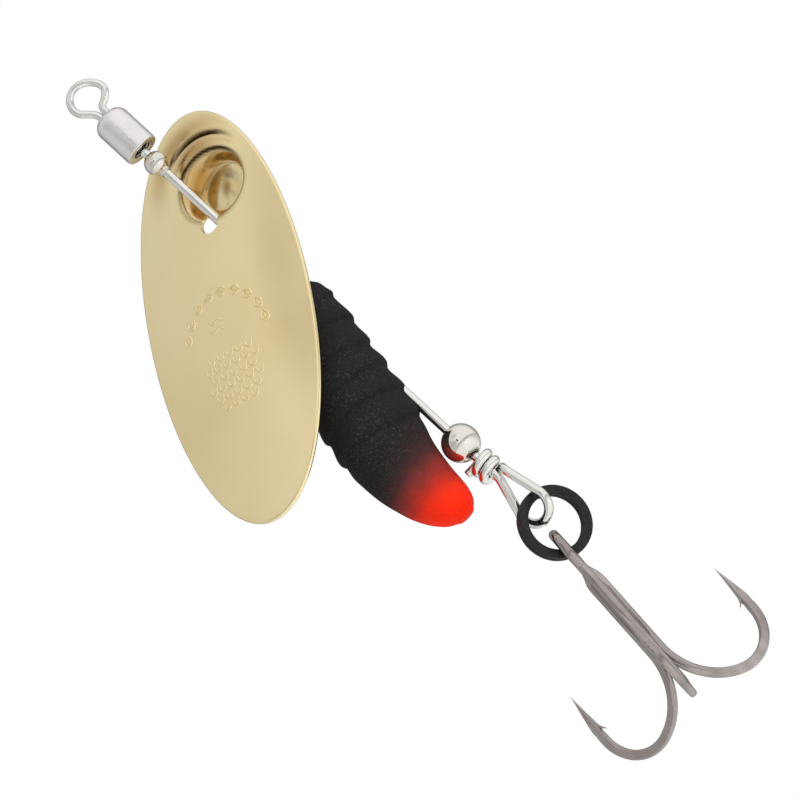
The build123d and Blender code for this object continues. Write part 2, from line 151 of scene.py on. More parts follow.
def arc(centre, x_dir, y_dir, radius, start, end, steps=24):
    """Points of an arc in the plane of two directions, angles in degrees."""
    points = []
    for i in range(steps + 1):
        angle = math.radians(start + (end - start) * i / steps)
        points.append(centre + x_dir * (radius * math.cos(angle)) + y_dir * (radius * math.sin(angle)))
    return points


def curve_through(points, steps=10):
    """Smooth line through a few points (Catmull-Rom)."""
    line = []
    for i in range(len(points) - 1):
        before = points[i - 1] if i else points[0] * 2 - points[1]
        a, b = points[i], points[i + 1]
        after = points[i + 2] if i + 2 < len(points) else b * 2 - a
        for k in range(steps):
            t = k / steps
            line.append(0.5 * (2 * a + (b - before) * t + (2 * before - 5 * a + 4 * b - after) * t ** 2
                               + (3 * a - before - 3 * b + after) * t ** 3))
    return line + [points[-1]]


def even(points, step):
    """The same line as equally spaced points."""
    lengths = [0.0]
    for a, b in zip(points, points[1:]):
        lengths.append(lengths[-1] + (b - a).length)
    count = max(2, round(lengths[-1] / step))
    result, k = [], 0
    for i in range(count + 1):
        at = lengths[-1] * i / count
        while k < len(points) - 2 and lengths[k + 1] < at:
            k += 1
        gap = max(1e-9, lengths[k + 1] - lengths[k])
        result.append(points[k].lerp(points[k + 1], (at - lengths[k]) / gap))
    return result


def softened(points, corner, reach):
    """The line with the corner nearest to a point rounded over this reach each way."""
    middle = min(range(len(points)), key=lambda i: (points[i] - corner).length)
    first = middle
    while (points[first] - corner).length < reach:
        first -= 1
    last = middle
    while (points[last] - corner).length < reach:
        last += 1
    a, b, c = points[first], points[middle], points[last]
    bend = [a * (1 - t) ** 2 + b * (2 * t * (1 - t)) + c * t * t for t in (k / 12 for k in range(1, 12))]
    return points[:first + 1] + bend + points[last:]


def tube(rings, loop=False):
    """Points and faces that join closed rings one after another, with flat ends unless it loops."""
    count = len(rings[0])
    points = [point for ring in rings for point in ring]
    faces = []
    for i in range(len(rings) if loop else len(rings) - 1):
        a, b = i * count, (i + 1) % len(rings) * count
        for j in range(count):
            k = (j + 1) % count
            faces.append((a + j, a + k, b + k, b + j))
    if not loop:
        faces.append(tuple(reversed(range(count))))
        faces.append(tuple(range(len(points) - count, len(points))))
    return points, faces


def sweep(line, normal, section, sides=28, blunt=0.72):
    """Solid along a line. section(share) gives its half sizes across, its squareness (2 is round)
    and how far out the round runs before two flat faces cut it off. blunt is the size of each end."""
    rings = []
    last = len(line) - 1
    for i, point in enumerate(line):
        tangent = (line[min(i + 1, last)] - line[max(i - 1, 0)]).normalized()
        normal = (normal - tangent * normal.dot(tangent)).normalized()
        other = tangent.cross(normal)
        half_n, half_o, square, kept = section(i / last)
        if i in (0, last):
            half_n, half_o = half_n * blunt, half_o * blunt
        ring = []
        for j in range(sides):
            angle = 2 * math.pi * j / sides
            x, y = math.cos(angle), math.sin(angle)
            x = math.copysign(abs(x) ** (2 / square), x)
            y = math.copysign(min(kept, abs(y) ** (2 / square)), y)
            ring.append(point + normal * (x * half_n) + other * (y * half_o))
        rings.append(ring)
    return tube(rings)


def round_wire(radius):
    """Section of plain round wire."""
    return lambda share: (radius, radius, 2.0, 1.0)


def rounded_outline(corners, steps=6):
    """Closed outline with each corner (x, y, fillet) rounded."""
    outline = []
    for i, (x, y, fillet) in enumerate(corners):
        here = Vector((x, y))
        before = Vector(corners[i - 1][:2]) - here
        after = Vector(corners[(i + 1) % len(corners)][:2]) - here
        if fillet == 0:
            outline.append(here)
            continue
        reach = min(fillet, 0.49 * before.length, 0.49 * after.length)
        a, c = here + before.normalized() * reach, here + after.normalized() * reach
        for k in range(steps + 1):
            t = k / steps
            outline.append(a * (1 - t) ** 2 + here * (2 * t * (1 - t)) + c * t * t)
    return outline


def lathe(outline, sides=96):
    """Closed outline of (radius, z) turned about the shaft's axis."""
    return tube([circle(radius, z, sides) for radius, z in outline], loop=True)


def piece(name, shells, material, body, node, sharp=50):
    """Mesh object from one or more closed shells, which stands for a CAD node."""
    points, faces = [], []
    for shell_points, shell_faces in shells:
        offset = len(points)
        points += shell_points
        faces += [tuple(index + offset for index in face) for face in shell_faces]
    mesh = bpy.data.meshes.new(name)
    mesh.from_pydata([point * MM for point in points], [], faces)
    facing = bmesh.new()
    facing.from_mesh(mesh)
    bmesh.ops.recalc_face_normals(facing, faces=facing.faces)
    facing.to_mesh(mesh)
    facing.free()
    mesh.shade_smooth()
    mesh.set_sharp_from_angle(angle=math.radians(sharp))
    mesh.materials.append(material)
    made = bpy.data.objects.new(name, mesh)
    bpy.context.scene.collection.objects.link(made)
    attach(made, body)
    if node:
        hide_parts(node)
    return made


def cut(made, cutter_shell, sharp=40):
    """Cuts one closed shell out of a piece and keeps the result as its mesh."""
    mesh = bpy.data.meshes.new("cutter")
    mesh.from_pydata([point * MM for point in cutter_shell[0]], [], cutter_shell[1])
    cutter = bpy.data.objects.new("cutter", mesh)
    bpy.context.scene.collection.objects.link(cutter)
    modifier = made.modifiers.new("hole", "BOOLEAN")
    modifier.operation = "DIFFERENCE"
    modifier.solver = "EXACT"
    modifier.object = cutter
    bpy.context.view_layer.update()
    depsgraph = bpy.context.evaluated_depsgraph_get()
    result = bpy.data.meshes.new_from_object(made.evaluated_get(depsgraph))
    made.modifiers.clear()
    made.data = result
    result.set_sharp_from_angle(angle=math.radians(sharp))
    bpy.data.objects.remove(cutter)


def span(node):
    """Middle height, half height and largest radius of a round node, in millimetres."""
    low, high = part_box(node)
    return (low.z + high.z) / 2 / MM, (high.z - low.z) / 2 / MM, high.x / MM


def circle(radius, z, sides):
    """Points of a level circle about the shaft's axis."""
    angles = [2 * math.pi * j / sides for j in range(sides)]
    return [Vector((radius * math.cos(angle), radius * math.sin(angle), z)) for angle in angles]


def upset_head(low, high):
    """Flat round head between two heights."""
    corners = [(HEAD_CORE_R, high, 0), (HEAD_R, high, HEAD_FILLET), (HEAD_R, low, HEAD_FILLET),
               (HEAD_CORE_R, low, 0)]
    return lathe(rounded_outline(corners), 48)


# ---------------------------------------------------------------- materials
MIX_COLOR_A, MIX_COLOR_B, MIX_COLOR = 6, 7, 2    # a mix node's colour inputs and output


class Shader:
    """A node-based material built up step by step."""

    def __init__(self, name):
        self.material = bpy.data.materials.new(name)
        self.material.use_nodes = True
        self.tree = self.material.node_tree
        self.surface = self.tree.nodes["Principled BSDF"]
        self.where = self.tree.nodes.new("ShaderNodeTexCoord").outputs["Object"]

    def set(self, **values):
        for key, value in values.items():
            self.surface.inputs[key.replace("_", " ")].default_value = value

    def link(self, source, target):
        self.tree.links.new(source, target)

    def stretched(self, scale):
        node = self.tree.nodes.new("ShaderNodeMapping")
        node.inputs["Scale"].default_value = scale
        self.link(self.where, node.inputs["Vector"])
        return node.outputs["Vector"]

    def noise(self, scale, detail=4.0, rough=0.55, stretch=(1, 1, 1)):
        node = self.tree.nodes.new("ShaderNodeTexNoise")
        node.inputs["Scale"].default_value = scale
        node.inputs["Detail"].default_value = detail
        node.inputs["Roughness"].default_value = rough
        self.link(self.stretched(stretch), node.inputs["Vector"])
        return node.outputs["Fac"]

    def spots(self, scale):
        node = self.tree.nodes.new("ShaderNodeTexVoronoi")
        node.inputs["Scale"].default_value = scale
        self.link(self.where, node.inputs["Vector"])
        return node.outputs["Distance"]

    def axis(self, name):
        node = self.tree.nodes.new("ShaderNodeSeparateXYZ")
        self.link(self.where, node.inputs["Vector"])
        return node.outputs[name]

    def attribute(self, name):
        node = self.tree.nodes.new("ShaderNodeAttribute")
        node.attribute_name = name
        return node.outputs["Fac"]

    def spread(self, value, low, high, to_low=0.0, to_high=1.0):
        node = self.tree.nodes.new("ShaderNodeMapRange")
        node.inputs["From Min"].default_value = low
        node.inputs["From Max"].default_value = high
        node.inputs["To Min"].default_value = to_low
        node.inputs["To Max"].default_value = to_high
        self.link(value, node.inputs["Value"])
        return node.outputs["Result"]

    def sums(self, first, second, operation="ADD"):
        node = self.tree.nodes.new("ShaderNodeMath")
        node.operation = operation
        self.link(first, node.inputs[0])
        if isinstance(second, float):
            node.inputs[1].default_value = second
        else:
            self.link(second, node.inputs[1])
        return node.outputs["Value"]

    def ramp(self, value, stops):
        node = self.tree.nodes.new("ShaderNodeValToRGB")
        elements = node.color_ramp.elements
        while len(elements) < len(stops):
            elements.new(0.5)
        for element, (place, color) in zip(elements, stops):
            element.position = place
            element.color = (*color, 1)
        self.link(value, node.inputs["Fac"])
        return node.outputs["Color"]

    def mix(self, share, first, second):
        node = self.tree.nodes.new("ShaderNodeMix")
        node.data_type = "RGBA"
        self.link(share, node.inputs["Factor"])
        for color, index in ((first, MIX_COLOR_A), (second, MIX_COLOR_B)):
            if isinstance(color, tuple):
                node.inputs[index].default_value = (*color, 1)
            else:
                self.link(color, node.inputs[index])
        return node.outputs[MIX_COLOR]

    def color(self, value):
        self.link(value, self.surface.inputs["Base Color"])

    def roughness(self, value):
        self.link(value, self.surface.inputs["Roughness"])

    def relief(self, value, distance, strength=1.0):
        node = self.tree.nodes.new("ShaderNodeBump")
        node.inputs["Distance"].default_value = distance
        node.inputs["Strength"].default_value = strength
        self.link(value, node.inputs["Height"])
        self.link(node.outputs["Normal"], self.surface.inputs["Normal"])


def plated(name, dark, light, smooth, rough, grain, depth, stretch=(1, 1, 1)):
    """Bright metal with faint cloudiness, fine grain and uneven gloss."""
    shader = Shader(name)
    shader.set(Metallic=1.0)
    cloud = shader.noise(grain * 0.12, detail=3.0)
    fine = shader.noise(grain, detail=6.0, rough=0.65, stretch=stretch)
    shader.color(shader.ramp(cloud, [(0.3, dark), (0.7, light)]))
    both = shader.sums(cloud, fine, "MULTIPLY")
    shader.roughness(shader.spread(both, 0.12, 0.4, smooth, rough))
    shader.relief(fine, depth)
    return shader.material


def blade_metal():
    """Pale gold plate, with painted brown-gold reflection and shade down the cup's wall and painted dark
    shade in its creases, with soft waves.
    """
    shader = Shader("champagne_plate")
    shader.set(Metallic=1.0)
    cloud = shader.noise(90, detail=2.0)
    pale = shader.ramp(cloud, [(0.25, (0.825, 0.68, 0.375)), (0.75, (0.90, 0.775, 0.475))])
    # The first mix paints a brown-gold reflection and shade onto the cup's wall, ridge and fold.
    painted_reflection = shader.mix(shader.attribute("painted_reflection"), pale, (0.42, 0.235, 0.06))
    # The second mix paints dark brown shade into the creases and along the cup's edge.
    shader.color(shader.mix(shader.attribute("crease"), painted_reflection, (0.045, 0.022, 0.005)))
    scuffs = shader.noise(5200, detail=2.0, stretch=(1, 1, 0.12))
    waves = shader.noise(260, detail=2.0)
    shader.roughness(shader.spread(shader.sums(scuffs, cloud, "MULTIPLY"), 0.1, 0.45, 0.12, 0.22))
    shader.relief(shader.sums(waves, shader.sums(scuffs, 0.05, "MULTIPLY")), 0.00003)
    return shader.material


def dipped_rubber():
    """Matte black rubber with pale dust, its tail dipped through maroon to orange-red."""
    shader = Shader("black_rubber")
    shader.set(IOR=1.42, Specular_IOR_Level=0.09)
    ragged = shader.spread(shader.noise(700, detail=3.0), 0.0, 1.0, -0.0005, 0.0005)
    start = shader.sums(shader.sums(shader.axis("X"), 0.36, "MULTIPLY"), -0.0369)
    depth = shader.sums(start, shader.sums(shader.axis("Z"), ragged), "SUBTRACT")
    run = shader.sums(shader.sums(shader.axis("X"), 0.62, "MULTIPLY"), 0.0096)
    along = shader.sums(depth, run, "DIVIDE")
    dip = shader.ramp(along, [(0.0, (0.013, 0.0127, 0.0127)), (0.2, (0.024, 0.015, 0.015)),
                              (0.32, (0.05, 0.018, 0.017)), (0.43, (0.13, 0.022, 0.02)),
                              (0.55, (0.24, 0.022, 0.018)), (0.67, (0.4, 0.022, 0.012)),
                              (0.8, (0.68, 0.022, 0.006)), (1.0, (0.86, 0.02, 0.002))])
    dust = shader.spread(shader.noise(5200, detail=3.0, rough=0.8), 0.54, 0.68, 0.0, 1.0)
    speck = shader.spread(shader.spots(3800), 0.16, 0.05, 0.0, 1.0)
    cloud = shader.spread(shader.noise(330, detail=4.0), 0.4, 0.7, 0.15, 0.7)
    powder = shader.sums(shader.sums(dust, cloud, "MULTIPLY"), shader.sums(speck, 0.35, "MULTIPLY"))
    black = shader.sums(powder, shader.spread(along, 0.1, 0.5, 1.0, 0.0), "MULTIPLY")
    shader.color(shader.mix(black, dip, (0.085, 0.085, 0.084)))
    shader.roughness(shader.spread(along, 0.2, 0.8, 0.8, 0.5))
    grain = shader.sums(shader.noise(4200, detail=5.0, rough=0.7), shader.spots(2600))
    shader.relief(grain, 0.00003, 0.8)
    return shader.material


def black_ring_metal():
    """Satin black plate over spring wire, paler in uneven patches."""
    shader = Shader("black_ring")
    shader.set(Specular_IOR_Level=0.24, Coat_Weight=0.05, Coat_Roughness=0.4)
    wear = shader.noise(2600, detail=6.0, rough=0.7)
    shader.color(shader.ramp(wear, [(0.42, (0.006, 0.006, 0.0063)), (0.72, (0.016, 0.016, 0.0165))]))
    shader.roughness(shader.spread(wear, 0.3, 0.7, 0.36, 0.55))
    shader.relief(wear, 0.000012)
    return shader.material


def hook_metal():
    """Bronzed nickel with streaks along the wire and darker stains."""
    shader = Shader("hook_steel")
    shader.set(Metallic=1.0)
    stain = shader.noise(620, detail=5.0, rough=0.6, stretch=(1, 1, 0.35))
    streak = shader.noise(5200, detail=4.0, stretch=(1, 1, 0.08))
    shader.color(shader.ramp(stain, [(0.3, (0.27, 0.24, 0.23)), (0.7, (0.46, 0.42, 0.41))]))
    shader.roughness(shader.spread(shader.sums(stain, streak, "MULTIPLY"), 0.12, 0.4, 0.13, 0.26))
    shader.relief(streak, 0.000006)
    return shader.material


NICKEL = plated("polished_nickel", (0.70, 0.68, 0.635), (0.79, 0.77, 0.725), 0.03, 0.07, 2600, 0.000003)
SATIN = plated("satin_nickel", (0.74, 0.73, 0.735), (0.83, 0.82, 0.825), 0.22, 0.34, 5200, 0.00001,
               (1, 1, 0.1))
STEEL = plated("steel_wire", (0.74, 0.74, 0.72), (0.84, 0.84, 0.82), 0.05, 0.1, 4200, 0.000006,
               (1, 1, 0.12))
EYE_STEEL = plated("swivel_wire", (0.70, 0.70, 0.69), (0.84, 0.84, 0.83), 0.08, 0.17, 4200, 0.000006)
BRASS = plated("brass", (0.52, 0.35, 0.12), (0.66, 0.47, 0.19), 0.18, 0.32, 3800, 0.00001, (1, 1, 6))
BRAZE = plated("braze", (0.19, 0.165, 0.15), (0.36, 0.32, 0.30), 0.28, 0.48, 1800, 0.00003)
LEAD = plated("core_metal", (0.12, 0.12, 0.125), (0.22, 0.22, 0.225), 0.4, 0.6, 900, 0.00006)
BLADE_METAL = blade_metal()
RUBBER = dipped_rubber()
BLACK_RING = black_ring_metal()
HOOK_STEEL = hook_metal()


# ---------------------------------------------------------------- swivel and beads
def make_line_eye():
    """Hand-bent wire loop: straight on the left, tight at the lower right."""
    line = even(curve_through([Vector((x, 0, z)) for x, z in EYE_POINTS]), 0.08)
    head = upset_head(EYE_HEAD_LOW, EYE_HEAD_TOP)
    piece("line_eye_wire", [sweep(line, BACK, round_wire(EYE_WIRE_R)), head], EYE_STEEL,
          "line_eye", "line_eye")


def make_barrel():
    """Drawn cup with a rolled shoulder above and a crimped lip below."""
    middle, half, radius = span("swivel_barrel")
    top, low = middle + half, middle - half
    corners = [(BARREL_TOP_HOLE_R, top, 0.06), (1.02, top, 0.25), (radius, top - 0.5, 0.5),
               (radius, low + 0.3, 0.15), (radius - 0.03, low + 0.05, 0.06), (radius - 0.12, low, 0.06),
               (1.1, low + 0.06, 0.1), (0.84, low + 0.03, 0.05), (BARREL_LOW_HOLE_R, low + 0.32, 0.05),
               (BARREL_IN_R, low + 0.36, 0.1), (BARREL_IN_R, top - 0.4, 0.2),
               (BARREL_TOP_HOLE_R, top - 0.3, 0.05)]
    piece("swivel_barrel_cup", [lathe(rounded_outline(corners))], SATIN, "barrel", "swivel_barrel",
          sharp=60)


def ball_outline(z, radius):
    """Outline of a bored ball with a small chamfer at each mouth."""
    limit = math.degrees(math.asin((BORE_R + MOUTH) / radius))
    outline = []
    for i in range(BALL_STEPS + 1):
        angle = math.radians(90 - limit - (180 - 2 * limit) * i / BALL_STEPS)
        outline.append(Vector((radius * math.cos(angle), z + radius * math.sin(angle))))
    end = radius * math.cos(math.radians(limit)) - MOUTH
    return outline + [Vector((BORE_R, z - end)), Vector((BORE_R, z + end))]


def collared_outline(low, top, radius):
    """Outline of a bored ball with a short collar under it."""
    centre = top - math.sqrt(radius ** 2 - BORE_R ** 2)
    foot = -math.degrees(math.acos(COLLAR_R / radius))
    start = 90 - math.degrees(math.asin((BORE_R + MOUTH) / radius))
    outline = []
    for i in range(BALL_STEPS + 1):
        angle = math.radians(start + (foot - start) * i / BALL_STEPS)
        outline.append(Vector((radius * math.cos(angle), centre + radius * math.sin(angle))))
    return outline + [Vector((COLLAR_R, low + 0.06)), Vector((COLLAR_R - 0.05, low)), Vector((BORE_R, low)),
                      Vector((BORE_R, top - 0.04))]


def make_beads():
    """Front bead with its collar, rear bead, turned bearing bead and spacer tube."""
    low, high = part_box("front_bead")
    outline = collared_outline(low.z / MM, high.z / MM, high.x / MM)
    piece("front_bead_ball", [lathe(outline)], NICKEL, "front_bead", "front_bead")
    middle, _, radius = span("rear_bead")
    piece("rear_bead_ball", [lathe(ball_outline(middle, radius))], NICKEL, "rear_bead", "rear_bead")
    middle, _, radius = span("bearing_bead")
    piece("bearing_ball", [lathe(ball_outline(middle, radius))], BRASS, "bearing", "bearing_bead")
    middle, half, radius = span("spacer_tube")
    corners = [(BORE_R, middle + half, 0.03), (radius, middle + half, 0.08)]
    for step in GROOVE_PLACES:
        z = middle + half * step
        corners += [(radius, z + GROOVE_HALF, 0.03), (radius - GROOVE_D, z, 0.05),
                    (radius, z - GROOVE_HALF, 0.03)]
    corners += [(radius, middle - half, 0.08), (BORE_R, middle - half, 0.03)]
    piece("spacer_sleeve", [lathe(rounded_outline(corners, 3), 64)], BRASS, "body", "spacer_tube")


# ---------------------------------------------------------------- shaft wire
def shaft_line():
    """Centre line of the shaft, its tail loop, the wraps and the cut end."""
    yaw = math.radians(LOOP_YAW)
    across = Vector((math.cos(yaw), -math.sin(yaw), 0))
    fork = LOOP_FORK_Z - LOOP_Z
    lean = math.asin(LOOP_R / math.hypot(LOOP_P, fork)) - math.atan2(LOOP_P, fork)
    run = LOOP_BEND_R * math.tan(lean / 2)
    start = Vector((0, 0, span("swivel_barrel")[0] - SHAFT_TOP_UNDER))
    bend_start = LOOP_FORK_Z + run
    line = [start, Vector((0, 0, bend_start + 0.2))]
    line += arc(Vector((0, 0, bend_start)) - across * LOOP_BEND_R, across, UP, LOOP_BEND_R, 0,
                -math.degrees(lean), 8)
    rise = WRAP_LOW - LOOP_Z
    slope = math.asin(LOOP_R / math.hypot(WRAP_R - LOOP_P, rise)) - math.atan2(WRAP_R - LOOP_P, rise)
    centre = across * LOOP_P + UP * LOOP_Z
    line += arc(centre, across, UP, LOOP_R, 180 - math.degrees(lean), 360 + math.degrees(slope), 48)
    turns = WRAP_TURNS + (90 + LOOP_YAW) / 360
    wraps = []
    for i in range(WRAP_STEPS + 1):
        angle = 2 * math.pi * turns * i / WRAP_STEPS - yaw
        wraps.append(Vector((WRAP_R * math.cos(angle), WRAP_R * math.sin(angle),
                             WRAP_LOW + turns * WRAP_PITCH * i / WRAP_STEPS)))
    line += wraps
    line.append(wraps[-1] - RIGHT * STUB_L)
    return softened(even(line, 0.09), wraps[0], WRAP_CORNER)


def make_shaft():
    """One bright wire from the swivel's head to the cut end above the wraps."""
    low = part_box("swivel_barrel")[0].z / MM + SHAFT_HEAD_UP
    head = upset_head(low, low + SHAFT_HEAD_T)
    wire = sweep(shaft_line(), BACK, round_wire(WIRE_R), sides=32, blunt=0.86)
    piece("shaft_wire_bent", [wire, head], STEEL, "shaft", "shaft_wire")


# ---------------------------------------------------------------- blade
def blade_axes():
    """Centre and directions of the blade: along it to the tail, across it, and out of the dome."""
    splay, lift, roll = (math.radians(value) for value in (BLADE_SPLAY, BLADE_LIFT, BLADE_ROLL))
    length = Vector((-math.sin(splay) * math.cos(lift), -math.sin(lift), -math.cos(splay) * math.cos(lift)))
    level = (-BACK).cross(length).normalized()
    face = length.cross(level).normalized()
    across = level * math.cos(roll) + face * math.sin(roll)
    normal = face * math.cos(roll) - level * math.sin(roll)
    centre = UP * BLADE_HOLE_Z - length * HOLE_U - across * HOLE_V - normal * HOLE_W
    return centre, length, across, normal


BLADE_CENTRE, BLADE_L, BLADE_W, BLADE_N = blade_axes()


def cup_place(u, v):
    """Distance inside the cup's edge, direction from its centre in degrees, share down its wall."""
    du, dv = u - CUP_U, v - CUP_V
    inside = CUP_R - math.hypot(du, dv)
    angle = math.atan2(dv, du)
    to_right = (1 + math.sin(angle)) / 2
    wall = CUP_WALL_WIDE + (CUP_WALL_NARROW - CUP_WALL_WIDE) * to_right ** 2
    return inside, math.degrees(angle) % 360, inside / wall


def fold_place(u, v):
    """Distance outside the crease's circle, and how strong the crease is in that direction."""
    du, dv = u - FOLD_U, v - FOLD_V
    turn = math.degrees(math.atan2(dv, du)) % 360
    return math.hypot(du, dv) - FOLD_R, bump(turn, 181, 60) ** 0.5


def blade_height(u, v):
    """Height of the domed face over the rim's plane, with the cup, its ridge and its creases."""
    height = BLADE_DISH * (1 - (u / BLADE_A) ** 2 - (v / BLADE_B) ** 2)
    inside, _, down = cup_place(u, v)
    if inside > 0:
        height -= (CUP_DEPTH - CUP_TILT * (v - CUP_V)) * ease(down, CUP_SOFT)
    outside, strength = fold_place(u, v)
    ridge = bump(inside, -RIDGE_OUT, RIDGE_HALF) * strength
    height += RIDGE_H * ridge
    height -= CREASE_D * strength * bump(outside, CREASE_OUT, CREASE_HALF)
    return height


def blade_point(u, v, above=0.0):
    """Place on the blade's face, or this far above it."""
    return BLADE_CENTRE + BLADE_L * u + BLADE_W * v + BLADE_N * (blade_height(u, v) + above)


def blade_shell(columns=250, rows=118, rim_steps=7):
    """Front, rounded rim and back as one closed shell."""
    edge = BLADE_T / 2
    front, back, boundary = [], [], []
    for i in range(columns + 1):
        for j in range(rows + 1):
            s, t = 2 * i / columns - 1, 2 * j / rows - 1
            u = (BLADE_A - edge) * s * math.sqrt(1 - t * t / 2)
            v = (BLADE_B - edge) * t * math.sqrt(1 - s * s / 2)
            front.append(blade_point(u, v))
            back.append(blade_point(u, v) - BLADE_N * BLADE_T)
            if i in (0, columns) or j in (0, rows):
                boundary.append((math.atan2(t, s) % (2 * math.pi), i * (rows + 1) + j, u, v))
    boundary.sort()
    count = len(front)
    points = front + back
    faces = []
    for i in range(columns):
        for j in range(rows):
            a = i * (rows + 1) + j
            b = a + rows + 1
            faces.append((a, a + 1, b + 1, b))
            faces.append((count + a, count + b, count + b + 1, count + a + 1))
    rings = [[index for _, index, _, _ in boundary]]
    for k in range(1, rim_steps):
        turn = math.pi * k / rim_steps
        ring = []
        for _, index, u, v in boundary:
            away = Vector((u / BLADE_A ** 2, v / BLADE_B ** 2)).normalized()
            out = BLADE_L * away.x + BLADE_W * away.y
            ring.append(len(points))
            points.append(front[index] - BLADE_N * (edge - edge * math.cos(turn))
                          + out * (edge * math.sin(turn)))
        rings.append(ring)
    rings.append([count + index for _, index, _, _ in boundary])
    for upper, lower in zip(rings, rings[1:]):
        for j in range(len(upper)):
            k = (j + 1) % len(upper)
            faces.append((upper[j], upper[k], lower[k], lower[j]))
    return points, faces


def hole_cutters():
    """Bar along the wire, and a punch square to the blade. The two meet in one hole."""
    bar = [circle(BLADE_BAR_R, BLADE_HOLE_Z + dz, 64) for dz in (-BLADE_BAR_HALF, BLADE_BAR_HALF)]
    angles = [2 * math.pi * j / 64 for j in range(64)]
    middle = BLADE_CENTRE + BLADE_L * PUNCH_U + BLADE_W * PUNCH_V
    punch = [[middle + BLADE_L * (PUNCH_A * math.cos(a)) + BLADE_W * (PUNCH_B * math.sin(a)) + BLADE_N * dn
              for a in angles] for dn in (-PUNCH_HALF, PUNCH_HALF)]
    return tube(bar), tube(punch)


def stroke(places, width, height):
    """Raised line on the blade's face through (u, v) places, thin at both ends."""
    line = even(curve_through([Vector((u, v, 0)) for u, v in places], 6), 0.12)
    last = len(line) - 1
    rings = []
    for i, point in enumerate(line):
        along = (line[min(i + 1, last)] - line[max(i - 1, 0)]).normalized()
        side = Vector((-along.y, along.x, 0))
        size = 0.25 + 0.75 * math.sin(math.pi * i / last) ** 0.4 if 0 < i < last else 0.25
        ring = []
        for across, up in ((-1, -0.9), (-0.72, 0.35), (-0.3, 0.95), (0.3, 0.95), (0.72, 0.35), (1, -0.9)):
            at = point + side * (across * width / 2 * size)
            ring.append(blade_point(at.x, at.y, up * height * size))
        rings.append(ring)
    return tube(rings)


def leaf_strokes():
    """Arc of little leaves, each of two bowed sides and a midrib."""
    strokes = []
    for i in range(LEAF_COUNT):
        angle = math.radians(LEAF_FIRST - LEAF_STEP * i)
        out = Vector((math.cos(angle), math.sin(angle)))
        side = Vector((-out.y, out.x))
        middle = LEAF_CENTRE + Vector((LEAF_RU * out.x, LEAF_RV * out.y))
        for bow in (-LEAF_BOW, 0.0, LEAF_BOW):
            ends = 0.52 if bow else 0.34
            places = [middle - side * ends, middle + out * bow, middle + side * ends]
            strokes.append(stroke(places, 0.27, 0.1))
    return strokes


def ripple_strokes():
    """Two small ripples side by side."""
    strokes = []
    for shift in (0.0, 0.75):
        strokes.append(stroke([(0.5 + shift, -1.35), (0.85 + shift, -0.85), (0.6 + shift, -0.3),
                               (0.95 + shift, 0.2)], 0.32, 0.1))
    return strokes


def scale_strokes():
    """Patch of fish scales in staggered rows."""
    strokes = []
    for row in range(SCALE_ROWS):
        u = SCALE_U + SCALE_PITCH_U * row
        reach = PATCH_HALF_V * math.sqrt(max(0.0, 1 - ((u - PATCH_U) / PATCH_HALF_U) ** 2))
        for column in range(-4, 5):
            v = SCALE_V + SCALE_PITCH_V * (column + 0.5 * (row % 2))
            if abs(v - SCALE_V) < reach:
                strokes.append(stroke([(u - 0.28, v - 0.36), (u + 0.14, v - 0.24), (u + 0.28, v),
                                       (u + 0.14, v + 0.24), (u - 0.28, v + 0.36)], 0.26, 0.085))
    return strokes


def tint_blade(made):
    """Writes how much painted brown-gold reflection and shade, and how much painted dark crease shade, each
    point of the blade gets.
    """
    painted_reflections, painted_crease_shades = [], []
    for vertex in made.data.vertices:
        place = vertex.co / MM - BLADE_CENTRE
        u, v = place.dot(BLADE_L), place.dot(BLADE_W)
        inside, angle, down = cup_place(u, v)
        # Painted brown-gold reflection and shade: down the cup's wall, on its ridge and outside the fold.
        wall = bump(down, 0.6, 0.95) * (0.12 + 0.88 * bump(angle, 232, 120)) if inside > 0 else 0.0
        outside, strength = fold_place(u, v)
        ridge = bump(inside, -0.7, 1.1) * (0.25 + 0.7 * bump(angle, 215, 85)) * strength ** 0.5
        shade = 0.7 * bump(outside, 0.9, 1.6) * bump(angle, 212, 75)
        # Painted dark shade along the cup's edge here, and in the fold's crease two lines below.
        rim = 1.6 * bump(inside, 0.04, 0.3) * (0.2 + 0.8 * bump(angle, 185, 95))
        painted_reflections.append(min(1.0, max(wall, ridge, shade, 0.6 * bump(outside, 0.0, 0.6) * strength)))
        painted_crease_shades.append(min(1.0, max(rim, 1.5 * bump(outside, 0.05, 0.36) * strength ** 1.5)))
    for name, values in (("painted_reflection", painted_reflections), ("crease", painted_crease_shades)):
        made.data.attributes.new(name, "FLOAT", "POINT").data.foreach_set("value", values)


def make_blade():
    """Pressed and plated blade, the painted brown-gold reflection and shade on its folds, and the marks on
    its face.
    """
    made = piece("blade_plate", [blade_shell()], BLADE_METAL, "blade", "blade", sharp=60)
    for cutter in hole_cutters():
        cut(made, cutter, sharp=55)
    tint_blade(made)
    marks = leaf_strokes() + ripple_strokes() + scale_strokes()
    piece("blade_marks", marks, BLADE_METAL, "blade", None, sharp=70)


# ---------------------------------------------------------------- rubber body
def body_profile(step):
    """Rows (middle's x, radius, z) down the body and round its tail."""
    centres = curve_through([Vector(((left + right) / 2, (right - left) / 2, z))
                             for z, left, right in BODY_ROWS], 30)
    profile = even(centres, step)
    last = profile[-1]
    drop = last.z - BODY_TIP.z
    for k in range(1, TIP_STEPS):
        share = math.sin(math.pi / 2 * k / TIP_STEPS)
        radius = last.y * math.cos(math.pi / 2 * k / TIP_STEPS) ** 0.9
        profile.append(Vector((last.x + (BODY_TIP.x - last.x) * share, radius, last.z - drop * share)))
    return profile


